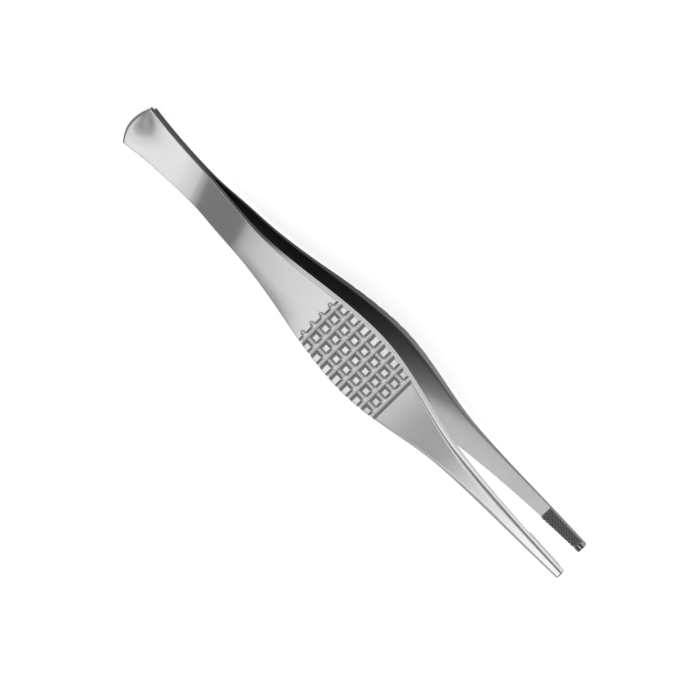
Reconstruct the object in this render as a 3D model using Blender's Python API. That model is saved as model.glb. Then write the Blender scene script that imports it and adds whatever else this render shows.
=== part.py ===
"""Thumb forceps with a waffle grip and toothed jaws: two forged spring arms, welded at the heel.

Metres, +X from the heel to the tips, +Z up. Each arm is drawn in the forceps' own frame, where the
plane between the arms is z = 0 and the heel end is x = 0. One empty then lays the pair down, on the
heel end and the start of the shank of its lower arm.
"""
import math

import bmesh
import bpy
import numpy as np
from mathutils import Matrix

MM = 0.001

# Runs along the arm, heel end to tip
HEEL_LENGTH = 36.0 * MM
NECK_LENGTH = 10.0 * MM
FLARE_LENGTH = 50.0 * MM
SHOULDER_LENGTH = 37.0 * MM
SHANK_LENGTH = 31.9 * MM
JAW_LENGTH = 15.1 * MM
WELD_LENGTH = 14.0 * MM
BEND_LENGTH = 11.0 * MM

# Widths of the outline, and its tapers where it isn't level
HEEL_WIDTH = 14.7 * MM
NECK_WIDTH = 9.3 * MM
GRIP_WIDTH = 21.0 * MM
SHANK_WIDTH = 8.4 * MM
JAW_WIDTH = 4.4 * MM
TIP_WIDTH = 3.2 * MM
HEEL_TAPER = -0.30
SHANK_TAPER = -0.22
JAW_TAPER = -0.08
HEEL_BOW = 3.0 * MM
TIP_RADIUS = 0.8 * MM

# Outer face above the middle plane, and how fast it climbs there
HEEL_CREST = 4.0 * MM
HEEL_RISE = 0.25 * MM
HEEL_CLIMB = 0.064
CREST_CLIMB = 0.055
BEND_RISE = 0.30 * MM
BEND_SPLAY = 0.05
NECK_HEIGHT = 4.61 * MM
NECK_SPLAY = 0.085
GRIP_HEIGHT = 7.90 * MM
GRIP_SPLAY = 0.0655
JAW_HEIGHT = 11.80 * MM
JAW_SPLAY = 0.025
TIP_HEIGHT = 11.90 * MM

# Thickness of the arm
HEEL_THICKNESS = 1.75 * MM
BLADE_THICKNESS = 1.45 * MM
NECK_THICKNESS = 1.60 * MM
GRIP_THICKNESS = 2.90 * MM
JAW_THICKNESS = 1.70 * MM
TIP_THICKNESS = 1.50 * MM
SEAM_GAP = 0.05 * MM

# Rounding of the outer edges: slight on the handle, a half-round back on shank and jaw
EDGE_WIDTH = 0.30 * MM
EDGE_DEPTH = 0.25 * MM
SHANK_ROUND_WIDTH = 1.50 * MM
SHANK_ROUND_SPREAD = 0.08
SHANK_ROUND_DEPTH = 1.20 * MM
JAW_ROUND_WIDTH = 2.60 * MM
TIP_ROUND_DEPTH = 1.00 * MM
MOST_ROUND = 0.90

# Waffle grip: square studs between milled grooves
CROSS_GROOVES = 8
LONG_GROOVES = 4
STUD_PITCH = 4.21 * MM
GROOVE_FLOOR = 1.00 * MM
GROOVE_MOUTH = 2.30 * MM
GROOVE_DEPTH = 0.40 * MM
LONG_GROOVE_DEPTH = 0.37 * MM
GROOVE_NOSE = 2.90 * MM
GRIP_MARGIN = 1.20 * MM
WAFFLE_SETBACK = 1.25 * MM

# Jaw: a raised cross-cut platform, a notch, and the teeth at the very tip
PLATFORM_RISE = 0.70 * MM
PLATFORM_STEP = 0.35 * MM
SERRATION_PITCH = 0.80 * MM
SERRATION_DEPTH = 0.33 * MM
SECOND_SERRATION_DEPTH = 0.30 * MM
NOTCH_LENGTH = 0.80 * MM
NOTCH_RISE = 0.10 * MM
TOOTH_LENGTH = 1.60 * MM
TOOTH_PITCH = 1.35 * MM
TOOTH_RISE = 0.45 * MM
TOOTH_DEPTH = 0.95 * MM
TOOTH_CREST = 0.25 * MM
TOOTH_SLOPE = 0.35 * MM

# Fineness of the solids, and how far a cutter reaches past what it cuts
STATION_STEP = 2.6 * MM
EDGE_SEGMENTS = 5
BOW_SEGMENTS = 16
OVERCUT = 0.5 * MM
CREST_STOCK = 0.05 * MM

# Places along the arm
BEND_AT = WELD_LENGTH + BEND_LENGTH
NECK_START = HEEL_LENGTH
NECK_END = NECK_START + NECK_LENGTH
GRIP_AT = NECK_END + FLARE_LENGTH
SHANK_AT = GRIP_AT + SHOULDER_LENGTH
JAW_START = SHANK_AT + SHANK_LENGTH
TIP = JAW_START + JAW_LENGTH
WAFFLE_AT = GRIP_AT - WAFFLE_SETBACK
GRIP_HALF = CROSS_GROOVES * STUD_PITCH / 2 + GRIP_MARGIN
GRIP_START = WAFFLE_AT - GRIP_HALF
GRIP_END = WAFFLE_AT + GRIP_HALF
TOOTH_START = TIP - TOOTH_LENGTH
PLATFORM_END = TOOTH_START - NOTCH_LENGTH
GRIP_ANGLE = math.atan(GRIP_SPLAY)


def smooth_line(stations, places):
    """Read a smooth line at the given places. A station is (place, height, slope)."""
    known = np.array(stations)
    piece = np.clip(np.searchsorted(known[:, 0], places, side="right") - 1, 0, len(known) - 2)
    start, end = known[piece].T, known[piece + 1].T
    run = end[0] - start[0]
    t = (places - start[0]) / run
    from_start = (1 + 2 * t) * (1 - t) ** 2 * start[1] + t * (1 - t) ** 2 * run * start[2]
    from_end = t ** 2 * (3 - 2 * t) * end[1] + t ** 2 * (t - 1) * run * end[2]
    return from_start + from_end


def half_width(x):
    """Half the outline's width: flared heel, neck, broad grip, slender shank, and a rounded tip."""
    line = smooth_line([
        (0, HEEL_WIDTH / 2, HEEL_TAPER / 2),
        (NECK_START, NECK_WIDTH / 2, 0),
        (NECK_END, NECK_WIDTH / 2, 0),
        (GRIP_AT, GRIP_WIDTH / 2, 0),
        (SHANK_AT, SHANK_WIDTH / 2, SHANK_TAPER / 2),
        (JAW_START, JAW_WIDTH / 2, JAW_TAPER / 2),
        (TIP, TIP_WIDTH / 2, JAW_TAPER / 2),
    ], x)
    into_tip = np.clip((x - (TIP - TIP_RADIUS)) / TIP_RADIUS, 0, 1)
    return line - TIP_RADIUS * (1 - np.sqrt(1 - into_tip ** 2))


def back_height(x):
    """Outer face above the middle plane: welded heel, outward bend, straight grip, nearly level jaw."""
    return smooth_line([
        (0, HEEL_THICKNESS + SEAM_GAP / 2, HEEL_CLIMB),
        (HEEL_CREST, HEEL_THICKNESS + SEAM_GAP / 2 + HEEL_RISE, CREST_CLIMB),
        (WELD_LENGTH, BLADE_THICKNESS + SEAM_GAP / 2, 0),
        (BEND_AT, BLADE_THICKNESS + SEAM_GAP / 2 + BEND_RISE, BEND_SPLAY),
        (NECK_END, NECK_HEIGHT, NECK_SPLAY),
        (GRIP_START, GRIP_HEIGHT - GRIP_SPLAY * GRIP_HALF, GRIP_SPLAY),
        (GRIP_END, GRIP_HEIGHT + GRIP_SPLAY * GRIP_HALF, GRIP_SPLAY),
        (JAW_START, JAW_HEIGHT, JAW_SPLAY),
        (TIP, TIP_HEIGHT, 0),
    ], x)


def thickness(x):
    """Arm thickness: a thin spring blade behind the grip, a stout grip, and a slender jaw."""
    return smooth_line([
        (0, HEEL_THICKNESS, HEEL_CLIMB),
        (HEEL_CREST, HEEL_THICKNESS + HEEL_RISE, CREST_CLIMB),
        (WELD_LENGTH, BLADE_THICKNESS, 0),
        (NECK_END, NECK_THICKNESS, 0.02),
        (GRIP_AT, GRIP_THICKNESS, 0),
        (JAW_START, JAW_THICKNESS, -0.015),
        (TIP, TIP_THICKNESS, -0.01),
    ], x)


def jaw_face_height(x):
    """Straight line of the jaw's inner face, from the jaw's start to the tip."""
    start, tip = JAW_HEIGHT - JAW_THICKNESS, TIP_HEIGHT - TIP_THICKNESS
    return start + (tip - start) * (x - JAW_START) / JAW_LENGTH


def bare_inner_height(x):
    """Inner face above the middle plane. The heels meet there, with the weld's seam between them."""
    bowed = np.maximum(back_height(x) - thickness(x), SEAM_GAP / 2)
    return np.where(x < JAW_START, bowed, jaw_face_height(x))


def jaw_rise(x):
    """How far platform and teeth stand up from the inner face, towards the other arm."""
    crest = PLATFORM_RISE + TOOTH_RISE + CREST_STOCK
    quarter = NOTCH_LENGTH / 4
    places = [JAW_START, JAW_START + PLATFORM_STEP, PLATFORM_END, PLATFORM_END + quarter,
              TOOTH_START - quarter, TOOTH_START, TIP - TOOTH_SLOPE, TIP]
    rises = [0, PLATFORM_RISE, PLATFORM_RISE, NOTCH_RISE, NOTCH_RISE, crest, crest, PLATFORM_RISE]
    return np.interp(x, places, rises), places


def edge_rounding(x):
    """Width and depth of the rounding along both outer edges. It takes nearly the whole of the jaw's back."""
    shank_starts = GRIP_END - GRIP_MARGIN - STUD_PITCH
    width = smooth_line([
        (0, EDGE_WIDTH, 0),
        (shank_starts, EDGE_WIDTH, 0),
        (SHANK_AT, SHANK_ROUND_WIDTH, SHANK_ROUND_SPREAD),
        (JAW_START, JAW_ROUND_WIDTH, 0),
        (TIP, JAW_ROUND_WIDTH, 0),
    ], x)
    depth = smooth_line([
        (0, EDGE_DEPTH, 0),
        (shank_starts, EDGE_DEPTH, 0),
        (SHANK_AT, SHANK_ROUND_DEPTH, 0),
        (TIP, TIP_ROUND_DEPTH, 0),
    ], x)
    return np.minimum(width, MOST_ROUND * half_width(x)), depth


def stations_along_arm():
    """Places of the loft's sections: every change of form, and even steps between."""
    tip_turn = TIP - TIP_RADIUS * (1 - np.sin(np.radians([0, 30, 55, 75])))
    marks = [-OVERCUT, HEEL_CREST, WELD_LENGTH, BEND_AT, NECK_START, NECK_END, GRIP_START, GRIP_AT, GRIP_END, SHANK_AT]
    marks = np.unique(np.round(np.concatenate([marks, jaw_rise(TIP)[1], tip_turn]), 8))
    spans = [np.linspace(a, b, math.ceil((b - a) / STATION_STEP) + 1)[:-1]
             for a, b in zip(marks[:-1], marks[1:])]
    return np.concatenate(spans + [marks[-1:]])


def arm_sections():
    """Corner points of every section: a flat inner face, upright sides and a back with round edges."""
    x = stations_along_arm()
    half = half_width(x)
    inner = bare_inner_height(x) - jaw_rise(x)[0]
    outer = back_height(x)
    round_width, round_depth = edge_rounding(x)
    turn = np.radians(np.linspace(0, 90, EDGE_SEGMENTS + 1))[:, None]
    side = half - round_width * (1 - np.cos(turn))
    rise = outer - round_depth * (1 - np.sin(turn))
    y = np.concatenate([[-half, half], side, -side[::-1]])
    z = np.concatenate([[inner, inner], rise, rise[::-1]])
    return np.stack([np.broadcast_to(x, y.shape), y, z], axis=2).transpose(1, 0, 2)


def mesh_object(name, collection, points, faces):
    """Put points and faces into a new object, with every face turned outwards and cut into triangles."""
    mesh = bpy.data.meshes.new(name)
    mesh.from_pydata([tuple(p) for p in points], [], faces)
    solid = bmesh.new()
    solid.from_mesh(mesh)
    bmesh.ops.recalc_face_normals(solid, faces=solid.faces)
    bmesh.ops.triangulate(solid, faces=solid.faces)
    solid.to_mesh(mesh)
    solid.free()
    item = bpy.data.objects.new(name, mesh)
    collection.objects.link(item)
    return item


def loft(name, collection, sections):
    """Skin a row of closed sections that have the same number of corners, and cap both ends."""
    rows, corners = sections.shape[:2]
    faces = [tuple(range(corners)), tuple((rows - 1) * corners + k for k in range(corners))]
    for row in range(rows - 1):
        for k in range(corners):
            near, far = row * corners, (row + 1) * corners
            turn = (k + 1) % corners
            faces.append((near + k, near + turn, far + turn, far + k))
    return mesh_object(name, collection, sections.reshape(-1, 3), faces)


def prisms(name, collection, bars):
    """One cutter made of separate bars. Each is a row of sections that have the same corners."""
    points, faces = [], []
    for bar in bars:
        sections = np.array(bar)
        rows, corners = sections.shape[:2]
        first = len(points)
        points.extend(sections.reshape(-1, 3))
        faces.append(tuple(first + k for k in range(corners)))
        faces.append(tuple(first + (rows - 1) * corners + k for k in range(corners)))
        for row in range(rows - 1):
            for k in range(corners):
                near = first + row * corners
                turn = (k + 1) % corners
                faces.append((near + k, near + turn, near + corners + turn, near + corners + k))
    cutter = mesh_object(name, collection, points, faces)
    cutter.hide_render = True
    cutter.display_type = "WIRE"
    return cutter


def on_grip(along, across, up):
    """A point near the straight grip face: along it from the waffle's middle, across, and above it."""
    return (WAFFLE_AT + along * math.cos(GRIP_ANGLE) - up * math.sin(GRIP_ANGLE), across,
            GRIP_HEIGHT + along * math.sin(GRIP_ANGLE) + up * math.cos(GRIP_ANGLE))


def groove_section(floor_half, floor_up):
    """Corners (sideways, up) of a groove cutter whose flanks have the slope of the finished groove."""
    flank = (GROOVE_MOUTH - GROOVE_FLOOR) / 2 / GROOVE_DEPTH
    top_half = floor_half + flank * (OVERCUT - floor_up)
    return [(-floor_half, floor_up), (floor_half, floor_up), (top_half, OVERCUT), (-top_half, OVERCUT)]


def heel_bow_bars():
    """What lies beyond the heel's bowed end: one upright bar whose inner side is the bow."""
    reach = HEEL_WIDTH / 2 + OVERCUT
    across = np.linspace(-reach, reach, BOW_SEGMENTS + 1)
    bow = [(HEEL_BOW * (2 * y / HEEL_WIDTH) ** 2, y) for y in across]
    corners = bow + [(-2 * OVERCUT, reach), (-2 * OVERCUT, -reach)]
    return [[[(x, y, z) for x, y in corners] for z in (-OVERCUT, HEEL_THICKNESS + 2 * OVERCUT)]]


def cross_groove_bars():
    """Grooves that run straight across the grip and out of both its sides."""
    reach = GRIP_WIDTH / 2 + OVERCUT
    section = groove_section(GROOVE_FLOOR / 2, -GROOVE_DEPTH)
    for n in range(CROSS_GROOVES):
        middle = (n - (CROSS_GROOVES - 1) / 2) * STUD_PITCH
        yield [[on_grip(middle + side, across, up) for side, up in section] for across in (-reach, reach)]


def long_groove_bars():
    """Grooves along the grip, from a point behind the first cross groove into the last one."""
    last = (CROSS_GROOVES - 1) / 2 * STUD_PITCH
    full = groove_section(GROOVE_FLOOR / 2, -LONG_GROOVE_DEPTH)
    point = groove_section(GROOVE_FLOOR / 20, -LONG_GROOVE_DEPTH / 20)
    for n in range(LONG_GROOVES):
        middle = (n - (LONG_GROOVES - 1) / 2) * STUD_PITCH
        yield [[on_grip(along, middle + side, up) for side, up in section]
               for along, section in ((-last - GROOVE_NOSE, point), (-last, full), (last, full))]


def on_platform(x, across, down):
    """A point near the jaw's platform: how far it lies below the face, into the metal."""
    return (x, across, jaw_face_height(x) - PLATFORM_RISE + down)


def serration_bars(lean, depth):
    """V-grooves cut slantwise over the platform. The lean is 1 for one hand and -1 for the other."""
    reach = JAW_WIDTH / 2 + OVERCUT
    step = SERRATION_PITCH * math.sqrt(2)
    first, last = JAW_START - OVERCUT, PLATFORM_END + NOTCH_LENGTH / 2
    skew = (depth + CREST_STOCK) / math.sqrt(2)
    section = [(-skew, -CREST_STOCK), (skew, -CREST_STOCK), (0, depth)]
    for n in range(math.ceil((last - first + reach) / step)):
        middle = first + n * step
        start, end = max(-reach, first - middle), min(reach, last - middle)
        if end - start > OVERCUT:
            yield [[on_platform(middle + t - side, lean * (t + side), down) for side, down in section]
                   for t in (start, end)]


def tooth_comb_bars(teeth):
    """The comb that leaves pointed teeth at the tip, with gullies between and beside them."""
    reach = JAW_WIDTH / 2 + OVERCUT
    corners = [(-reach, -OVERCUT), (-reach, TOOTH_DEPTH)]
    for n in range(teeth):
        crest = (n - (teeth - 1) / 2) * TOOTH_PITCH
        corners.append((crest - TOOTH_PITCH / 2, TOOTH_DEPTH))
        corners.append((crest - TOOTH_CREST / 2, 0))
        corners.append((crest + TOOTH_CREST / 2, 0))
    corners.append((teeth / 2 * TOOTH_PITCH, TOOTH_DEPTH))
    corners.extend([(reach, TOOTH_DEPTH), (reach, -OVERCUT)])
    return [[[on_platform(x, across, down - TOOTH_RISE) for across, down in corners]
             for x in (TOOTH_START - NOTCH_LENGTH / 2, TIP + OVERCUT)]]


def satin_steel():
    """Hardened stainless steel with a fine satin finish."""
    steel = bpy.data.materials.new("satin_stainless_steel")
    steel.use_nodes = True
    shader = steel.node_tree.nodes["Principled BSDF"]
    shader.inputs["Base Color"].default_value = (0.60, 0.60, 0.60, 1)
    shader.inputs["Metallic"].default_value = 1.0
    shader.inputs["Roughness"].default_value = 0.34
    return steel


def rest_angle():
    """Angle of the line from the heel's outer edge that just touches the outer face farther along."""
    x = stations_along_arm()
    x = x[x > NECK_START]
    return math.atan(np.max((back_height(x) - back_height(0)) / x))


def lay_down(frame):
    """Turn and lift the frame so that lower heel and shank lie on z = 0, centred over the origin."""
    angle = rest_angle()
    frame.rotation_euler = (0, -angle, 0)
    turn = Matrix.Rotation(-angle, 3, "Y")
    shape = arm_sections().reshape(-1, 3)
    shape[:, 0] = np.maximum(shape[:, 0], 0)
    reach = np.concatenate([shape, shape * (1, 1, -1)]) @ np.array(turn.transposed())
    foot = back_height(0) * math.cos(angle)
    frame.location = (-(reach[:, 0].min() + reach[:, 0].max()) / 2, 0, foot)


def build_arm(name, teeth, side, frame, parts, cutters, steel):
    """One arm: the lofted bar, less its heel bow, grip grooves, platform serrations and tooth gullies.

    The grooves cross one another at grazing angles, which only the MANIFOLD solver closes cleanly.
    """
    flip = (1, 1, side)
    arm = loft(name, parts, arm_sections() * flip)
    arm.data.materials.append(steel)
    arm.data.shade_smooth()
    arm.data.set_sharp_from_angle(angle=math.radians(25))
    arm.parent = frame
    cuts = {
        "heel_bow": heel_bow_bars(),
        "cross_grooves": cross_groove_bars(),
        "long_grooves": long_groove_bars(),
        "left_serrations": serration_bars(1, SERRATION_DEPTH),
        "right_serrations": serration_bars(-1, SECOND_SERRATION_DEPTH),
        "tooth_comb": tooth_comb_bars(teeth),
    }
    for cut, bars in cuts.items():
        cutter = prisms(name + "_" + cut, cutters, [np.array(bar) * flip for bar in bars])
        cutter.parent = frame
        boolean = arm.modifiers.new(cut, "BOOLEAN")
        boolean.operation = "DIFFERENCE"
        boolean.solver = "MANIFOLD"
        boolean.object = cutter
    return arm


def main():
    for old in list(bpy.data.objects):
        bpy.data.objects.remove(old, do_unlink=True)
    parts = bpy.data.collections.new("thumb_forceps")
    cutters = bpy.data.collections.new("thumb_forceps_cutters")
    bpy.context.scene.collection.children.link(parts)
    bpy.context.scene.collection.children.link(cutters)
    frame = bpy.data.objects.new("forceps_frame", None)
    parts.objects.link(frame)
    lay_down(frame)
    steel = satin_steel()
    build_arm("two_tooth_arm", 2, 1, frame, parts, cutters, steel)
    build_arm("three_tooth_arm", 3, -1, frame, parts, cutters, steel)


main()
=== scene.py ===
"""Thumb forceps in satin-ground stainless steel, laid down on a white table.

Both arms are surfaces worked out with numpy in the forceps' own frame: x runs from the heel to the
tips, y across the arms, and z is the height above the plane between the arms. They then take the
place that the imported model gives, lying on the heel end and the back of the lower arm.
"""
import math

import bmesh
import bpy
import numpy as np
from mathutils import Matrix, Vector


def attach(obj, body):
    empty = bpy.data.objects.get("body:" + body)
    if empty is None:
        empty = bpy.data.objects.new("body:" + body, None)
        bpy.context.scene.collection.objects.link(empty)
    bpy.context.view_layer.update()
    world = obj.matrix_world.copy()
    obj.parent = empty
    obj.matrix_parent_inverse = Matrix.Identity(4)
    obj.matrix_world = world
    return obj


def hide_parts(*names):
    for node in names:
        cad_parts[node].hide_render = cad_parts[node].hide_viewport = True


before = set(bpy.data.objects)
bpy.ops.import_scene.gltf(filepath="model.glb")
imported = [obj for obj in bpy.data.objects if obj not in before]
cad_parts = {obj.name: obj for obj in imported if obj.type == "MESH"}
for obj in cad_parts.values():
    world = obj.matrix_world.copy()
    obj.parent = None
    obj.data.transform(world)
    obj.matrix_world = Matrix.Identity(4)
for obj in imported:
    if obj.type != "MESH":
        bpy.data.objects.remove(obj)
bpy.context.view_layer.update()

MM = 0.001

# Runs along the arm, from the heel's end to the tip
WELD_LENGTH = 14.0 * MM
BEND_AT = 25.0 * MM
NECK_START = 36.0 * MM
NECK_END = 46.0 * MM
GRIP_AT = 96.0 * MM
SHANK_AT = 133.0 * MM
JAW_START = 164.9 * MM
TIP = 180.0 * MM

# Outline of an arm, seen from above
HEEL_WIDTH = 14.7 * MM
NECK_WIDTH = 10.0 * MM
GRIP_WIDTH = 21.0 * MM
SHANK_WIDTH = 8.4 * MM
JAW_WIDTH = 4.4 * MM
TIP_WIDTH = 3.2 * MM
HEEL_TAPER = -0.30
SHANK_TAPER = -0.22
JAW_TAPER = -0.08
HEEL_BOW = 3.0 * MM
HEEL_BOW_RUN = 12.0 * MM
CORNER_REACH = 0.40
TIP_RADIUS = 0.5 * MM

# What the grinding belt takes off beyond the plain shape. A run says where the cut starts, where it is
# full, where it begins to fade and where it ends.
HEEL_GRINDING = 0.63 * MM
GRINDING_RUN = 6.0 * MM
GRINDING_AT = 1.5 * MM
GRINDING_SPREAD = 4.5 * MM
HEEL_RAYS = 0.004
HEEL_RAY_RUN = 7.0 * MM
HEEL_RAY_COUNT = 10
BEND_SLANT = 0.28
SLANT_RUN = (12.0 * MM, 32.0 * MM, 48.0 * MM, 74.0 * MM)
FLARE_ROLL = 0.36 * MM
FLARE_RUN = (36.0 * MM, 54.0 * MM, 64.0 * MM, 79.0 * MM)
ROLL_START = 1.0 * MM
ROLL_SPAN = 7.0 * MM

# Side view: height of the outer face, thickness, and how fast the face climbs
BEND_RISE = 0.30 * MM
BEND_SPLAY = 0.05
NECK_HEIGHT = 4.61 * MM
NECK_SPLAY = 0.085
GRIP_HEIGHT = 7.90 * MM
GRIP_SPLAY = 0.0655
JAW_HEIGHT = 11.80 * MM
JAW_SPLAY = 0.025
TIP_HEIGHT = 11.90 * MM
HEEL_THICKNESS = 1.75 * MM
WELD_THICKNESS = 1.60 * MM
BLADE_THICKNESS = 1.45 * MM
NECK_THICKNESS = 1.60 * MM
GRIP_THICKNESS = 2.90 * MM
JAW_THICKNESS = 1.70 * MM
TIP_THICKNESS = 1.50 * MM
NECK_THICKENING = 0.02
JAW_THINNING = -0.015
TIP_THINNING = -0.01
SEAM_GAP = 0.05 * MM

# Edges: a ground break on the handle, a half-round back on shank and jaw
EDGE_WIDTH = 0.30 * MM
EDGE_DEPTH = 0.25 * MM
SHOULDER_ROUND_WIDTH = 0.75 * MM
SHOULDER_ROUND_DEPTH = 0.40 * MM
SHOULDER_ROUND_SINK = 0.02
SHANK_ROUND_WIDTH = 1.50 * MM
SHANK_ROUND_SPREAD = 0.08
SHANK_ROUND_DEPTH = 1.20 * MM
JAW_ROUND_WIDTH = 2.60 * MM
TIP_ROUND_DEPTH = 1.00 * MM
MOST_ROUND = 0.90
INNER_BREAK = 0.10 * MM
END_BREAK = 0.20 * MM
TIP_TURN = 0.60 * MM
TIP_DROP = 0.25 * MM

# Waffle grip
CROSS_GROOVES = 8
LONG_GROOVES = 4
STUD_PITCH = 4.21 * MM
GROOVE_FLOOR = 0.85 * MM
GROOVE_MOUTH = 2.65 * MM
GROOVE_DEPTH = 0.40 * MM
LONG_GROOVE_DEPTH = 0.37 * MM
GROOVE_NOSE = 2.90 * MM
GROOVE_ROUNDING = 0.09 * MM
FLAT_LEAD = 0.06 * MM
GRIP_MARGIN = 1.20 * MM
WAFFLE_SETBACK = 1.25 * MM
WAFFLE_AT = GRIP_AT - WAFFLE_SETBACK
GRIP_HALF = CROSS_GROOVES * STUD_PITCH / 2 + GRIP_MARGIN

# Jaw: a cross-cut platform, a notch and the teeth
PLATFORM_RISE = 0.70 * MM
PLATFORM_STEP = 0.35 * MM
SERRATION_PITCH = 0.80 * MM
SERRATION_DEPTH = 0.33 * MM
SECOND_SERRATION_DEPTH = 0.30 * MM
SERRATION_LEAD = 0.50 * MM
NOTCH_LENGTH = 0.80 * MM
NOTCH_RISE = 0.10 * MM
NOTCH_SLOPE = 0.4 * NOTCH_LENGTH
TOOTH_LENGTH = 1.60 * MM
TOOTH_PITCH = 1.35 * MM
TOOTH_RISE = 0.45 * MM
TOOTH_DEPTH = 0.95 * MM
TOOTH_CREST = 0.25 * MM
TOOTH_SLOPE = 0.35 * MM
TOOTH_START = TIP - TOOTH_LENGTH
PLATFORM_END = TOOTH_START - NOTCH_LENGTH
SERRATION_STEP = SERRATION_PITCH * math.sqrt(2)

# Surface grids: steps and margins, points in a quarter turn or a row, shares of a side or a margin
HANDLE_STEP = 0.9 * MM
SHANK_STEP = 0.8 * MM
NOSE_STEP = 0.16 * MM
NOSE_LEAD = 0.5 * MM
JAW_CELL = SERRATION_STEP / 12
CELL_CLEARANCE = 0.45 * JAW_CELL
GROOVE_MARGIN = 0.2 * MM
EDGE_MARGIN = 0.5 * MM
BREAK_POINTS = 4
ROUND_POINTS = 9
INSIDE_POINTS = 15
SIDE_SHARES = np.array([0.35, 0.7])
MARGIN_SHARES = np.array([0.33, 0.67])
MERGE_DISTANCE = 2e-7
SHARP_ANGLE = math.radians(24)

# A face's finish goes by its middle: how far it lies below the bare face if it is cut, above a floor
# or an inner face if it still belongs there, in from the heel's end, in from the sides, and up a tooth
CUT_SLACK = 0.05 * MM
FLOOR_SLACK = 0.04 * MM
INNER_SLACK = 0.6 * INNER_BREAK
END_SLACK = 0.3 * END_BREAK
SIDE_SLACK = 1.5 * EDGE_WIDTH
CREST_HEIGHT = 0.85 * TOOTH_RISE

GRIP_ANGLE = math.atan(GRIP_SPLAY)

# The camera's line leans this far from the forceps' +z towards +y, and its mirror image as far back
MIRROR_ANGLE = math.radians(28.0)

# Places of the finishes in a piece's material list
GROUND_FINISH, INNER_FINISH, FLOOR_FINISH, WALL_FINISH, CUT_FINISH, FLANK_FINISH = range(6)

# Unevenness of the steel: noise values that span the roughness, its share either way, size of blotches
NOISE_LOW, NOISE_HIGH = 0.6, 1.4
ROUGHNESS_SWING = 0.1
BLOTCH_SCALE = 90.0

# Table and room: how much they glow, and the heights of a ray between which wall turns into ceiling
TABLE_SIZE = 24
TABLE_DROP = 0.0001
TABLE_GLOW = 0.60
WALL_LIGHT = 0.75
ROOM_LIGHT = 0.30
WALL_HEIGHT = 0.15
CEILING_HEIGHT = 0.55

# The bank of softboxes: name, start and end along the forceps, near edge, and radiance
BANK = (("bend", -0.265, -0.205, -0.12, 0.40), ("heel", -0.205, -0.125, -0.12, 0.88),
        ("grip", -0.125, -0.083, -0.22, 1.35), ("shank", -0.03, 0.02, -0.42, 0.80),
        ("jaw", 0.02, 0.06, -0.42, 1.10), ("tip", 0.06, 0.40, -0.42, 1.30))
BANK_FAR_EDGE = 0.64
FILL_TURN = -math.radians(66)
FILL_SIZE = (1.2, 0.8)
FILL_RADIANCE = 0.9


def smooth_line(stations, places):
    """Cubic through stations of (place, height, slope), a Hermite blend from each to the next."""
    known = np.array(stations)
    piece = np.clip(np.searchsorted(known[:, 0], places, side="right") - 1, 0, len(known) - 2)
    start, end = np.moveaxis(known[piece], -1, 0), np.moveaxis(known[piece + 1], -1, 0)
    run = end[0] - start[0]
    t = (places - start[0]) / run
    from_start = (1 + 2 * t) * (1 - t) ** 2 * start[1] + t * (1 - t) ** 2 * run * start[2]
    from_end = t ** 2 * (3 - 2 * t) * end[1] + t ** 2 * (t - 1) * run * end[2]
    return from_start + from_end


def outline_half(x):
    """Half width of the outline at x: the smooth line, less a quarter circle at the tip's corners."""
    line = smooth_line([
        (0, HEEL_WIDTH / 2, HEEL_TAPER / 2),
        (NECK_START, NECK_WIDTH / 2, 0),
        (NECK_END, NECK_WIDTH / 2, 0),
        (GRIP_AT, GRIP_WIDTH / 2, 0),
        (SHANK_AT, SHANK_WIDTH / 2, SHANK_TAPER / 2),
        (JAW_START, JAW_WIDTH / 2, JAW_TAPER / 2),
        (TIP, TIP_WIDTH / 2, JAW_TAPER / 2),
    ], x)
    into_tip = np.clip((x - (TIP - TIP_RADIUS)) / TIP_RADIUS, 0, 1)
    return line - TIP_RADIUS * (1 - np.sqrt(1 - into_tip ** 2))


def back_height(x):
    """Outer face above the middle plane: level weld, outward bend, straight grip, level jaw."""
    return smooth_line([
        (0, HEEL_THICKNESS + SEAM_GAP / 2, 0),
        (WELD_LENGTH, WELD_THICKNESS + SEAM_GAP / 2, 0),
        (BEND_AT, BLADE_THICKNESS + SEAM_GAP / 2 + BEND_RISE, BEND_SPLAY),
        (NECK_END, NECK_HEIGHT, NECK_SPLAY),
        (WAFFLE_AT - GRIP_HALF, GRIP_HEIGHT - GRIP_SPLAY * GRIP_HALF, GRIP_SPLAY),
        (WAFFLE_AT + GRIP_HALF, GRIP_HEIGHT + GRIP_SPLAY * GRIP_HALF, GRIP_SPLAY),
        (JAW_START, JAW_HEIGHT, JAW_SPLAY),
        (TIP, TIP_HEIGHT, 0),
    ], x)


def thickness(x):
    """Arm thickness: thin spring blade, stout grip, slender jaw."""
    return smooth_line([
        (0, HEEL_THICKNESS, 0),
        (WELD_LENGTH, WELD_THICKNESS, 0),
        (NECK_END, NECK_THICKNESS, NECK_THICKENING),
        (GRIP_AT, GRIP_THICKNESS, 0),
        (JAW_START, JAW_THICKNESS, JAW_THINNING),
        (TIP, TIP_THICKNESS, TIP_THINNING),
    ], x)


def inner_height(x):
    """Inner face above the middle plane: the seam at the weld, then the back less the thickness.

    On the jaw it is straight.
    """
    bowed = np.maximum(back_height(x) - thickness(x), SEAM_GAP / 2)
    start, tip = JAW_HEIGHT - JAW_THICKNESS, TIP_HEIGHT - TIP_THICKNESS
    straight = start + (tip - start) * (x - JAW_START) / (TIP - JAW_START)
    return np.where(x < JAW_START, bowed, straight)


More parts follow.
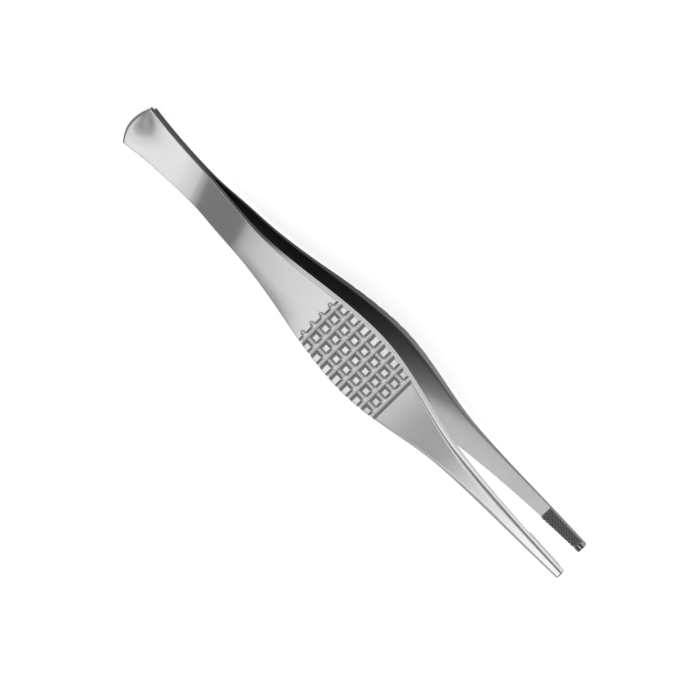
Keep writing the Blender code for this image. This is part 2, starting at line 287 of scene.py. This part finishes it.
def edge_rounding(x):
    """Width and depth of the quarter ellipse along both outer edges at x.

    From the shank on it widens, until it takes nearly the whole half width and the back is half-round.
    """
    shank_starts = WAFFLE_AT + GRIP_HALF - GRIP_MARGIN - STUD_PITCH
    width = smooth_line([(0, EDGE_WIDTH, 0), (shank_starts, EDGE_WIDTH, 0),
                         (WAFFLE_AT + GRIP_HALF, SHOULDER_ROUND_WIDTH, SHANK_ROUND_SPREAD / 2),
                         (SHANK_AT, SHANK_ROUND_WIDTH, SHANK_ROUND_SPREAD),
                         (JAW_START, JAW_ROUND_WIDTH, 0), (TIP, JAW_ROUND_WIDTH, 0)], x)
    depth = smooth_line([(0, EDGE_DEPTH, 0), (shank_starts, EDGE_DEPTH, 0),
                         (WAFFLE_AT + GRIP_HALF, SHOULDER_ROUND_DEPTH, SHOULDER_ROUND_SINK),
                         (SHANK_AT, SHANK_ROUND_DEPTH, 0), (TIP, TIP_ROUND_DEPTH, 0)], x)
    return np.minimum(width, MOST_ROUND * outline_half(x)), depth


def soft_ramp(t, rounding):
    """0 below t = 0, 1 above t = 1 and straight between, with both bends rounded by parabolas."""
    def bend(q):
        parabola = (q + rounding) ** 2 / (4 * rounding)
        return np.where(q > rounding, q, np.where(q < -rounding, 0, parabola))
    return bend(t) - bend(t - 1)


def groove_lines(count):
    """Grid lines that a row of grooves needs: floor, both flanks, and the roundings at their bends.

    A line a little way into each flat keeps the shading of the flat level.
    """
    middles = (np.arange(count) - (count - 1) / 2) * STUD_PITCH
    floor, mouth = GROOVE_FLOOR / 2, GROOVE_MOUTH / 2
    flank = [floor - GROOVE_ROUNDING - FLAT_LEAD, floor - GROOVE_ROUNDING, floor,
             floor + GROOVE_ROUNDING, (floor + mouth) / 2, mouth - GROOVE_ROUNDING, mouth,
             mouth + GROOVE_ROUNDING, mouth + GROOVE_ROUNDING + FLAT_LEAD]
    offsets = np.concatenate([-np.array(flank)[::-1], [0], flank])
    return np.sort((middles[:, None] + offsets[None, :]).ravel())


def groove_profile(from_middle, floor_half, depth):
    """Depth of one groove at a distance from its middle: flat floor, then flanks of fixed slope."""
    flank = (GROOVE_MOUTH - GROOVE_FLOOR) / 2
    run = flank * depth / GROOVE_DEPTH + 1e-9
    return depth * soft_ramp((floor_half + run - from_middle) / run, GROOVE_ROUNDING / flank)


def nearest_groove(place, count):
    """Distance to the nearest of a row of grooves with the stud pitch, centred on zero."""
    last = (count - 1) / 2
    number = np.clip(np.round(place / STUD_PITCH + last), 0, count - 1)
    return np.abs(place - (number - last) * STUD_PITCH)


def waffle_depth(s, y):
    """Cut depth on the grip: the deeper of the cross grooves and the long grooves.

    The long grooves start a nose's length ahead of the first cross groove's middle, where the round
    cutter sinks in, and stop in the last cross groove.
    """
    last = (CROSS_GROOVES - 1) / 2 * STUD_PITCH
    cross = groove_profile(nearest_groove(s, CROSS_GROOVES), GROOVE_FLOOR / 2, GROOVE_DEPTH)
    grown = 1 - (1 - np.clip((s + last + GROOVE_NOSE) / GROOVE_NOSE, 0, 1)) ** 2
    along = groove_profile(nearest_groove(y, LONG_GROOVES), GROOVE_FLOOR / 2 * grown,
                           LONG_GROOVE_DEPTH * grown)
    return np.maximum(cross, np.where((s > last) | (grown <= 0), 0, along)), cross


def spans(marks, step):
    """All marks in order, with even steps no longer than step between them."""
    marks = np.unique(np.round(marks, 9))
    parts = [np.linspace(a, b, math.ceil((b - a) / step - 1e-6) + 1)[:-1]
             for a, b in zip(marks[:-1], marks[1:])]
    return np.concatenate(parts + [marks[-1:]])


def jaw_marks():
    """Places and rises of the jaw's inner side: step, platform, notch, teeth and sloping front."""
    crest = PLATFORM_RISE + TOOTH_RISE
    return np.array([
        (JAW_START, 0), (JAW_START + PLATFORM_STEP, PLATFORM_RISE), (PLATFORM_END, PLATFORM_RISE),
        (PLATFORM_END + NOTCH_SLOPE, NOTCH_RISE), (TOOTH_START - NOTCH_SLOPE, NOTCH_RISE),
        (TOOTH_START, crest), (TIP - TOOTH_SLOPE, crest), (TIP, PLATFORM_RISE)])


def rows_along_arm():
    """Places of the grid's rows: coarse on plain metal, on every line of the grip, fine on the jaw."""
    end_turn = END_BREAK * (1 - np.cos(np.radians([0, 30, 60, 90])))
    last = (CROSS_GROOVES - 1) / 2 * STUD_PITCH
    nose_start = WAFFLE_AT - (last + GROOVE_NOSE) * math.cos(GRIP_ANGLE)
    handle = spans(np.concatenate([end_turn, [WELD_LENGTH, nose_start - NOSE_LEAD]]), HANDLE_STEP)
    grip = WAFFLE_AT + groove_lines(CROSS_GROOVES) * math.cos(GRIP_ANGLE)
    nose = spans([nose_start, grip[0]], NOSE_STEP)
    shank = spans([WAFFLE_AT + GRIP_HALF, JAW_START], SHANK_STEP)
    cells = np.arange(JAW_START - SERRATION_LEAD, TIP - TIP_RADIUS, JAW_CELL)
    turn = TIP - TIP_RADIUS * (1 - np.sin(np.radians([0, 15, 30, 45, 60, 70, 80, 90])))
    firm = np.concatenate([jaw_marks()[:, 0], turn])
    gap = np.abs(cells[:, None] - firm[None, :]).min(axis=1)
    cells = cells[(gap > CELL_CLEARANCE) & (cells > JAW_START)]
    return np.unique(np.round(np.concatenate([handle, nose, grip, shank, firm, cells]), 9))


def across_half(x, reach=0):
    """Half width of row x where it meets the side, and how much of the heel's bow the row has.

    The bow moves the row's end along the outline, so the half width is found by repetition. With a
    reach, the corner of the heel falls back less by that share.
    """
    fade = np.clip(1 - x / HEEL_BOW_RUN, 0, 1)
    half = outline_half(x)
    for _ in range(12):
        half = outline_half(x + HEEL_BOW * (2 * half / HEEL_WIDTH) ** 2 * fade * (1 - reach))
    return half, fade


def heel_bow(y, fade, reach):
    """How far the heel's end falls back at y: on the +y side less, by the reach's share."""
    return HEEL_BOW * (2 * y / HEEL_WIDTH) ** 2 * fade * np.where(y > 0, 1 - reach, 1)


def rise_along(x):
    """How far the jaw's inner edge stands up at x, towards the other arm."""
    marks = jaw_marks()
    return np.interp(x, marks[:, 0], marks[:, 1])


def comb_depth(y, teeth):
    """Depth of the tooth comb below the crests, with straight flanks from crest to gully."""
    last = (teeth - 1) / 2
    number = np.clip(np.round(y / TOOTH_PITCH + last), 0, teeth - 1)
    from_crest = np.abs(y - (number - last) * TOOTH_PITCH)
    flank = (from_crest - TOOTH_CREST / 2) / (TOOTH_PITCH / 2 - TOOTH_CREST / 2)
    return TOOTH_DEPTH * np.clip(flank, 0, 1)


def serration_depth(x, y):
    """Two hands of V-grooves at 45 degrees to the arm: depth less the distance to the groove's line."""
    def hand(lean, depth):
        along = (x - (JAW_START - SERRATION_LEAD) - lean * y) / SERRATION_STEP
        return depth - np.abs(along - np.round(along)) * SERRATION_PITCH
    return np.maximum(hand(1, SERRATION_DEPTH), hand(-1, SECOND_SERRATION_DEPTH))


def inner_side(x, y, teeth):
    """Height of the inner side: the bare face, and on the jaw its rise, cut by serrations or comb."""
    bare = inner_height(x)
    platform = bare - PLATFORM_RISE
    serrated = platform + serration_depth(x, y)
    combed = platform - TOOTH_RISE + comb_depth(y, teeth)
    cut = np.where(x < PLATFORM_END + NOTCH_LENGTH / 2, serrated, combed)
    surface = np.broadcast_to(bare - rise_along(x), y.shape)
    return np.where(x < JAW_START, surface, np.maximum(surface, cut))


def swell(x, start, full, fading, end):
    """0 up to the start, 1 from full to fading, 0 past the end, with smooth bends."""
    level = np.clip(np.minimum((x - start) / (full - start), (end - x) / (end - fading)), 0, 1)
    return level ** 2 * (3 - 2 * level)


def hand_grinding(x, y):
    """How much the belt has taken off the outer face beyond its plain shape.

    It leaves one corner of the heel's end lower, in faint rays from there, slants the neck's bend
    across the arm, and rolls the flare down towards one side.
    """
    beside_corner = np.exp(-((y - GRINDING_AT) / GRINDING_SPREAD) ** 2)
    radius = np.hypot(x, HEEL_WIDTH / 2 - y)
    wave = 1 + np.sin(HEEL_RAY_COUNT * np.arctan2(x, HEEL_WIDTH / 2 - y))
    rays = HEEL_RAYS * radius * wave * np.exp(-(radius / HEEL_RAY_RUN) ** 2)
    corner = beside_corner * (HEEL_GRINDING * np.exp(-(x / GRINDING_RUN) ** 2) + rays)
    delay = BEND_SLANT * (outline_half(x) - y) * swell(x, *SLANT_RUN)
    slant = back_height(x) - back_height(x - delay)
    roll = FLARE_ROLL * swell(x, *FLARE_RUN) * np.clip((-y - ROLL_START) / ROLL_SPAN, 0, 1) ** 2
    return corner + slant + roll


def outer_surface(teeth, reach):
    """Grid over both sides and the back of an arm, from one inner edge to the other.

    Across a row: a small quarter circle at the inner edge, the upright side, a quarter ellipse, the
    back, and the same again. On the back, the grid lines keep their distance from the middle where
    the grip is broad enough, so that they run along the grooves, and close up in proportion elsewhere.
    """
    x = rows_along_arm()
    half, fade = across_half(x, reach)
    outer = back_height(x)
    for run, drop, from_end in ((END_BREAK, END_BREAK, x), (TIP_TURN, TIP_DROP, TIP - x)):
        outer = outer - drop * (1 - np.sqrt(1 - np.clip(1 - from_end / run, 0, 1) ** 2))
    width, depth = edge_rounding(x)
    quarter = np.radians(np.linspace(0, 90, BREAK_POINTS))[:, None]
    low_y = half - INNER_BREAK * (1 - np.sin(quarter))
    side_y = np.broadcast_to(half, (2, len(x)))

    def low_side(sign):
        """Heights of the inner edge's quarter circle and of the side above it."""
        low_z = inner_side(x, sign * low_y, teeth) + INNER_BREAK * (1 - np.cos(quarter))
        side_z = low_z[-1] + (outer - depth - low_z[-1]) * SIDE_SHARES[:, None]
        return np.concatenate([low_z, side_z])
    turn = np.radians(np.linspace(0, 90, ROUND_POINTS))[:, None]
    arc_y = half - width * (1 - np.cos(turn))
    arc_z = outer - depth * (1 - np.sin(turn))
    edge = half - width
    lines = groove_lines(LONG_GROOVES)
    covered = lines[-1] + GROOVE_MARGIN
    shrink = np.minimum(1, edge / (covered + EDGE_MARGIN))
    studs = (np.arange(LONG_GROOVES + 1) - LONG_GROOVES / 2) * STUD_PITCH
    inside = np.sort(np.concatenate([lines, studs[np.abs(studs) < covered]]))[::-1]
    back_y = inside[:, None] * shrink
    margin = edge - (edge - inside[0] * shrink) * MARGIN_SHARES[:, None]
    back_y = np.concatenate([margin, back_y, -margin[::-1]])
    right_y = np.concatenate([low_y, side_y, arc_y])
    y = np.concatenate([right_y, back_y, -right_y[::-1]])
    z = np.concatenate([low_side(1), arc_z, np.broadcast_to(outer, back_y.shape), arc_z[::-1],
                        low_side(-1)[::-1]])
    s = (x - WAFFLE_AT) / math.cos(GRIP_ANGLE)
    cut, cross = waffle_depth(np.broadcast_to(s, y.shape), y)
    on_back = np.zeros(len(y), bool)
    on_back[len(right_y):len(right_y) + len(back_y)] = True
    wanted = outer - np.where(on_back[:, None], cut, cross) * math.cos(GRIP_ANGLE)
    low_columns = len(low_y) + len(side_y)
    upper = np.zeros(len(y), bool)
    upper[low_columns:len(y) - low_columns] = True
    lowered = np.where(upper[:, None], np.minimum(z, wanted) - hand_grinding(x, y), z)
    shift = (z - lowered) * math.tan(GRIP_ANGLE)
    bow = heel_bow(y, fade, reach)
    return np.stack([x + bow + shift, y, lowered], axis=2).transpose(1, 0, 2)


def jaw_inside(teeth):
    """Grid over the jaw's inner side in square cells. Cells past the outline close up on its edge."""
    x = rows_along_arm()
    x = x[x >= JAW_START]
    half = across_half(x)[0] - INNER_BREAK
    cells = math.ceil(JAW_WIDTH / 2 / JAW_CELL)
    y = np.clip(np.arange(cells, -cells - 1, -1)[:, None] * JAW_CELL, -half, half)
    return np.stack([np.broadcast_to(x, y.shape), y, inner_side(x, y, teeth)], axis=2).transpose(1, 0, 2)


def handle_inside(reach):
    """Grid over the plain inner face, from the heel to the last row ahead of the jaw."""
    x = rows_along_arm()
    x = x[x < JAW_START]
    half, fade = across_half(x, reach)
    y = np.linspace(1, -1, INSIDE_POINTS)[:, None] * (half - INNER_BREAK)
    bow = heel_bow(y, fade, reach)
    return np.stack([x + bow, y, np.broadcast_to(inner_height(x), y.shape)], axis=2).transpose(1, 0, 2)


def grid_triangles(points, first):
    """Two triangles a cell, split along the diagonal whose ends differ less in height."""
    rows, columns = points.shape[:2]
    index = first + np.arange(rows * columns).reshape(rows, columns)
    a, b, c, d = index[:-1, :-1], index[:-1, 1:], index[1:, 1:], index[1:, :-1]
    z = points[:, :, 2]
    along = np.abs(z[:-1, :-1] - z[1:, 1:]) <= np.abs(z[:-1, 1:] - z[1:, :-1])
    one = np.where(along[..., None], np.stack([a, b, c], -1), np.stack([a, b, d], -1))
    two = np.where(along[..., None], np.stack([a, c, d], -1), np.stack([b, c, d], -1))
    return np.concatenate([one.reshape(-1, 3), two.reshape(-1, 3)])


def zip_rows(points, one, two):
    """Triangles between two rows of points that both run from +y to -y.

    Each segment of a row is joined to the point of the other row that its middle has reached.
    """
    limit = min(points[one, 1].max(), points[two, 1].max())
    y_one, y_two = (-np.clip(points[row, 1], -limit, limit) for row in (one, two))
    middle_one = (y_one[:-1] + y_one[1:]) / 2
    reached = np.searchsorted((y_two[:-1] + y_two[1:]) / 2, middle_one)
    from_one = np.stack([one[:-1], one[1:], two[reached]], axis=1)
    middle_two = (y_two[:-1] + y_two[1:]) / 2
    back = np.searchsorted(middle_one, middle_two, side="right")
    from_two = np.stack([two[:-1], two[1:], one[back]], axis=1)
    return np.concatenate([from_one, from_two])


def table_place():
    """How the pair lies: the lower heel edge and the face farther along touch the table, centred."""
    x = rows_along_arm()
    x = x[x > NECK_START]
    angle = math.atan(np.max((back_height(x) - back_height(0)) / x))
    heel_reach = -back_height(0) * math.sin(angle)
    tip_reach = TIP * math.cos(angle) + TIP_HEIGHT * math.sin(angle)
    middle = (heel_reach + tip_reach) / 2
    lift = Matrix.Translation((-middle, 0, back_height(0) * math.cos(angle)))
    return lift @ Matrix.Rotation(-angle, 4, "Y")


TO_TABLE = table_place()


def finish_of(middles):
    """Finish of each face by its middle, in the arm's own frame.

    Within the grip's length, faces below the outer face are the grooves' floors or walls; those close
    to the inner face's height are inner, those of the platform and between the teeth cross-cut, and
    the upright sides are flanks. Floors, walls and cross-cut faces get darker colours, which are painted
    shade in these recesses; the teeth's crests keep the lighter ground colour.
    the upright sides are flanks.
    """
    x, y, z = middles.T
    inner, outer = inner_height(x), back_height(x) - hand_grinding(x, y)
    half, _ = across_half(x)
    kind = np.where((z < inner + INNER_SLACK) & (x > END_SLACK), INNER_FINISH, GROUND_FINISH)
    in_grip = (np.abs(x - WAFFLE_AT) < GRIP_HALF + GROOVE_NOSE) & (np.abs(y) < half - SIDE_SLACK)
    in_grip = in_grip & (z > inner + MM)
    kind = np.where(in_grip & (z < outer - CUT_SLACK), WALL_FINISH, kind)
    kind = np.where(in_grip & (z < outer - LONG_GROOVE_DEPTH + FLOOR_SLACK), FLOOR_FINISH, kind)
    kind = np.where(np.abs(y) > outline_half(x) - INNER_SLACK, FLANK_FINISH, kind)
    jaw = (x > JAW_START + PLATFORM_STEP) & (z < inner - CUT_SLACK)
    crest = z < inner - PLATFORM_RISE - CREST_HEIGHT
    return np.where(jaw & ~crest, CUT_FINISH, kind)


def arm_piece(name, teeth, side, reach, finishes):
    """One arm as a closed surface: outer grid, inner grids, a seam between them and both end caps.

    Side -1 turns the arm over, below the middle plane.
    """
    grids = [outer_surface(teeth, reach), handle_inside(reach), jaw_inside(teeth)]
    counts = [grid.shape[0] * grid.shape[1] for grid in grids]
    firsts = np.concatenate([[0], np.cumsum(counts)[:-1]])
    points = np.concatenate([grid.reshape(-1, 3) for grid in grids])
    indexes = [first + np.arange(count).reshape(grid.shape[:2])
               for first, count, grid in zip(firsts, counts, grids)]
    triangles = [grid_triangles(grid, first) for grid, first in zip(grids, firsts)]
    outer, handle, jaw = indexes
    triangles.append(zip_rows(points, handle[-1], jaw[0]))
    triangles.append(zip_rows(points, outer[0], handle[0]))
    triangles.append(zip_rows(points, outer[-1], jaw[-1]))
    triangles = np.concatenate(triangles)
    kinds = finish_of(points[triangles].mean(axis=1))
    points = points * (1, side, side)
    turn = np.array(TO_TABLE.to_3x3())
    points = points @ turn.T + np.array(TO_TABLE.translation)
    mesh = bpy.data.meshes.new(name)
    mesh.from_pydata(points, [], triangles.tolist())
    for finish in finishes:
        mesh.materials.append(finish)
    mesh.polygons.foreach_set("material_index", kinds.astype(np.int32))
    solid = bmesh.new()
    solid.from_mesh(mesh)
    bmesh.ops.remove_doubles(solid, verts=solid.verts, dist=MERGE_DISTANCE)
    bmesh.ops.recalc_face_normals(solid, faces=solid.faces)
    open_edges = sum(not edge.is_manifold for edge in solid.edges)
    print(name, "open edges:", open_edges, "faces:", len(solid.faces))
    solid.to_mesh(mesh)
    solid.free()
    mesh.shade_smooth()
    mesh.set_sharp_from_angle(angle=SHARP_ANGLE)
    piece = bpy.data.objects.new(name, mesh)
    bpy.context.scene.collection.objects.link(piece)
    return piece


def linear(code):
    """Scene-linear colour of an sRGB hex code."""
    channels = [int(code[k:k + 2], 16) / 255 for k in (1, 3, 5)]
    return tuple(c / 12.92 if c <= 0.04045 else ((c + 0.055) / 1.055) ** 2.4 for c in channels) + (1,)


def add_node(tree, kind, links=(), **settings):
    """Add a node: settings are its properties or input values, links are (input, output socket)."""
    node = tree.nodes.new(kind)
    for key, value in settings.items():
        if key in node.bl_rna.properties:
            setattr(node, key, value)
        else:
            node.inputs[key.replace("_", " ")].default_value = value
    for socket, source in links:
        tree.links.new(source, node.inputs[socket])
    return node


def steel_finish(name, colour, roughness, scratch_depth, grain, drawn_out=0.0, painted_shade=None):
    """Stainless steel with a fine grain: a noise of the given size in mm along, across and up.

    The grain moves the roughness by a tenth either way and presses in by the scratch depth. A lengthwise
    grain also draws the reflection out across the arm, by the given share. A painted shade is a darker
    colour standing in for shade, and the two places along the arm, in mm, between which it fades out to
    the steel's own colour.
    """
    steel = bpy.data.materials.new(name)
    steel.use_nodes = True
    tree = steel.node_tree
    shader = tree.nodes["Principled BSDF"]
    shader.inputs["Base Color"].default_value = linear(colour)
    shader.inputs["Metallic"].default_value = 1.0
    place = add_node(tree, "ShaderNodeTexCoord")
    if drawn_out:
        shader.inputs["Anisotropic"].default_value = drawn_out
        across = add_node(tree, "ShaderNodeCombineXYZ", Y=1.0)
        tree.links.new(across.outputs[0], shader.inputs["Tangent"])
    # Painted shade: a darker base colour towards the heel, blended into the steel's own colour between
    # the two places along the arm
    if painted_shade:
        shade_colour, start, end = painted_shade
        heel = TO_TABLE.translation.x
        parts = add_node(tree, "ShaderNodeSeparateXYZ", [("Vector", place.outputs["Object"])])
        bare = add_node(tree, "ShaderNodeMapRange", [("Value", parts.outputs["X"])],
                        interpolation_type="SMOOTHSTEP",
                        From_Min=start * MM + heel, From_Max=end * MM + heel)
        blend = add_node(tree, "ShaderNodeMix", data_type="RGBA")
        tree.links.new(bare.outputs[0], blend.inputs["Factor"])
        blend.inputs[6].default_value = linear(shade_colour)
        blend.inputs[7].default_value = linear(colour)
        tree.links.new(blend.outputs[2], shader.inputs["Base Color"])
    stretch = add_node(tree, "ShaderNodeMapping", [("Vector", place.outputs["Object"])],
                       Scale=[1 / (size * MM) for size in grain])
    scratches = add_node(tree, "ShaderNodeTexNoise", [("Vector", stretch.outputs[0])],
                         Scale=1.0, Detail=3.0)
    blotches = add_node(tree, "ShaderNodeTexNoise", [("Vector", place.outputs["Object"])],
                        Scale=BLOTCH_SCALE, Detail=2.0)
    mixed = add_node(tree, "ShaderNodeMath", [(0, scratches.outputs[0]), (1, blotches.outputs[0])],
                     operation="ADD")
    rough = add_node(tree, "ShaderNodeMapRange", [("Value", mixed.outputs[0])],
                     From_Min=NOISE_LOW, From_Max=NOISE_HIGH,
                     To_Min=roughness * (1 - ROUGHNESS_SWING), To_Max=roughness * (1 + ROUGHNESS_SWING))
    bump = add_node(tree, "ShaderNodeBump", [("Height", scratches.outputs[0])],
                    Strength=1.0, Distance=scratch_depth * MM)
    tree.links.new(rough.outputs[0], shader.inputs["Roughness"])
    tree.links.new(bump.outputs[0], shader.inputs["Normal"])
    return steel


def white_table():
    """A matt white table that glows up to paper white for the eye and for steel that mirrors it."""
    white = bpy.data.materials.new("white_table")
    white.use_nodes = True
    tree = white.node_tree
    matt = tree.nodes["Principled BSDF"]
    matt.inputs["Base Color"].default_value = linear("#f2f2f2")
    matt.inputs["Roughness"].default_value = 0.9
    path = add_node(tree, "ShaderNodeLightPath")
    seen = add_node(tree, "ShaderNodeMath",
                    [(0, path.outputs["Is Camera Ray"]), (1, path.outputs["Is Glossy Ray"])],
                    operation="MAXIMUM")
    through = add_node(tree, "ShaderNodeMath",
                       [(0, seen.outputs[0]), (1, path.outputs["Is Transmission Ray"])],
                       operation="MAXIMUM")
    glow = add_node(tree, "ShaderNodeMath", [(0, through.outputs[0])], operation="MULTIPLY")
    glow.inputs[1].default_value = TABLE_GLOW
    tree.links.new(glow.outputs[0], matt.inputs["Emission Strength"])
    matt.inputs["Emission Color"].default_value = (1, 1, 1, 1)
    return white


def place_camera():
    """A long lens over the forceps' flank, turned so that they lie slantwise from top left."""
    pixels_per_mm = 3.465
    heel_pixel = (133.1, 118.3)
    picture = 700
    sensor = 36.0
    lean = MIRROR_ANGLE
    slant = math.radians(45.27)
    distance = 1.8
    own = TO_TABLE.to_3x3()
    along = own @ Vector((1, 0, 0))
    across = own @ Vector((0, math.cos(lean), -math.sin(lean)))
    towards = own @ Vector((0, math.sin(lean), math.cos(lean)))
    right = math.cos(slant) * along + math.sin(slant) * across
    up = -math.sin(slant) * along + math.cos(slant) * across
    heel = TO_TABLE.translation
    to_right = (heel_pixel[0] - picture / 2) / pixels_per_mm * MM
    to_top = (picture / 2 - heel_pixel[1]) / pixels_per_mm * MM
    middle = heel - right * to_right - up * to_top
    camera = bpy.data.objects.new("camera", bpy.data.cameras.new("camera"))
    camera.data.sensor_width = sensor
    camera.data.lens = sensor * distance / (picture / pixels_per_mm * MM)
    turn = Matrix((right, up, towards)).transposed()
    camera.matrix_world = Matrix.Translation(middle + towards * distance) @ turn.to_4x4()
    bpy.context.scene.collection.objects.link(camera)
    bpy.context.scene.camera = camera


def softbox(name, turn, along, across, size, radiance):
    """A rectangular softbox of even radiance in a plane 1 m off, turned about the forceps' length.

    Along runs to the tips. With the mirror angle as turn, the plane's middle is what the flat faces
    mirror to the camera, and across runs to +y.
    """
    light = bpy.data.objects.new(name, bpy.data.lights.new(name, "AREA"))
    light.data.shape = "RECTANGLE"
    light.data.size, light.data.size_y = size
    light.data.energy = radiance * math.pi * size[0] * size[1]
    place = Matrix.Rotation(turn, 4, "X") @ Matrix.Translation((along, across, 1.0))
    light.matrix_world = TO_TABLE.to_3x3().to_4x4() @ place
    bpy.context.scene.collection.objects.link(light)


def studio():
    """White table, a bank of softboxes that the flat faces mirror, a fill beside the camera, a room.

    The room has pale walls and a grey ceiling.
    """
    bpy.ops.mesh.primitive_plane_add(size=TABLE_SIZE, location=(0, 0, -TABLE_DROP))
    table = bpy.context.object
    table.name = "table"
    table.data.materials.append(white_table())
    for name, start, end, near, radiance in BANK:
        softbox(name + "_softbox", MIRROR_ANGLE, (start + end) / 2, (near + BANK_FAR_EDGE) / 2,
                (end - start, BANK_FAR_EDGE - near), radiance)
    softbox("camera_side_fill", FILL_TURN, 0.0, 0.0, FILL_SIZE, FILL_RADIANCE)
    world = bpy.data.worlds.new("studio")
    world.use_nodes = True
    room = world.node_tree
    room.nodes["Background"].inputs["Color"].default_value = (1, 1, 1, 1)
    direction = add_node(room, "ShaderNodeTexCoord")
    parts = add_node(room, "ShaderNodeSeparateXYZ", [("Vector", direction.outputs["Generated"])])
    height = add_node(room, "ShaderNodeMapRange", [("Value", parts.outputs["Z"])],
                      From_Min=WALL_HEIGHT, From_Max=CEILING_HEIGHT,
                      To_Min=WALL_LIGHT, To_Max=ROOM_LIGHT)
    room.links.new(height.outputs[0], room.nodes["Background"].inputs["Strength"])
    bpy.context.scene.world = world
    bpy.context.scene.view_settings.view_transform = "Standard"


# Martensitic stainless steel. The outer faces are belt-ground lengthwise and satin brushed; the inner
# faces are blasted; the waffle's grooves and the jaw's cuts are left as milled, with darker colours that
# are painted shade in these recesses. Where the belt does not reach, on the handle's inner faces and
# narrow flanks, a darker colour towards the heel is painted shade, and it fades out towards the jaw.
ground = steel_finish("satin_ground_stainless_steel", "#c9c9c9", 0.17, 0.0003, (6.0, 0.35, 0.35),
                      drawn_out=0.8)
# Inner faces: blasted, with a darker colour from 50 to 120 mm towards the heel that is painted shade
# between the arms
blasted = steel_finish("blasted_stainless_steel", "#a6a6a6", 0.30, 0.0008, (0.8, 0.5, 0.5),
                       painted_shade=("#626262", 50, 120))
# Milled grooves and cross-cut jaw: rougher as milled; their darker colours, walls darker than floors and
# the cuts darkest, are painted shade in the recesses
groove_floor = steel_finish("milled_floor_stainless_steel", "#bababa", 0.26, 0.0005, (0.4, 0.4, 0.4))
groove_wall = steel_finish("milled_wall_stainless_steel", "#a8a8a8", 0.30, 0.0008, (0.4, 0.4, 0.4))
cross_cut = steel_finish("cross_cut_stainless_steel", "#8c8c8c", 0.36, 0.0010, (0.3, 0.3, 0.3))
# Upper arm's flanks: the near-black colour up to 50 to 66 mm from the heel is painted shade
upper_flank = steel_finish("upper_flank_stainless_steel", "#bdbdbd", 0.30, 0.0006, (3.0, 0.4, 0.4),
                           painted_shade=("#383838", 50, 66))
# Lower arm's flanks: their darker colour all along, beside the upper arm's, and the near-black colour up
# to 70 to 120 mm from the heel are painted shade
lower_flank = steel_finish("lower_flank_stainless_steel", "#7c7c7c", 0.30, 0.0006, (3.0, 0.4, 0.4),
                           painted_shade=("#3a3a3a", 70, 120))

# Each arm has its node, its teeth, its side of the middle plane, its heel's reach and its flanks
for node, teeth, side, reach, flank in (("two_tooth_arm", 2, 1, CORNER_REACH, upper_flank),
                                        ("three_tooth_arm", 3, -1, 0, lower_flank)):
    finishes = [ground, blasted, groove_floor, groove_wall, cross_cut, flank]
    arm = arm_piece(node.replace("arm", "forging"), teeth, side, reach, finishes)
    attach(arm, "root")
    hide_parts(node)
place_camera()
studio()
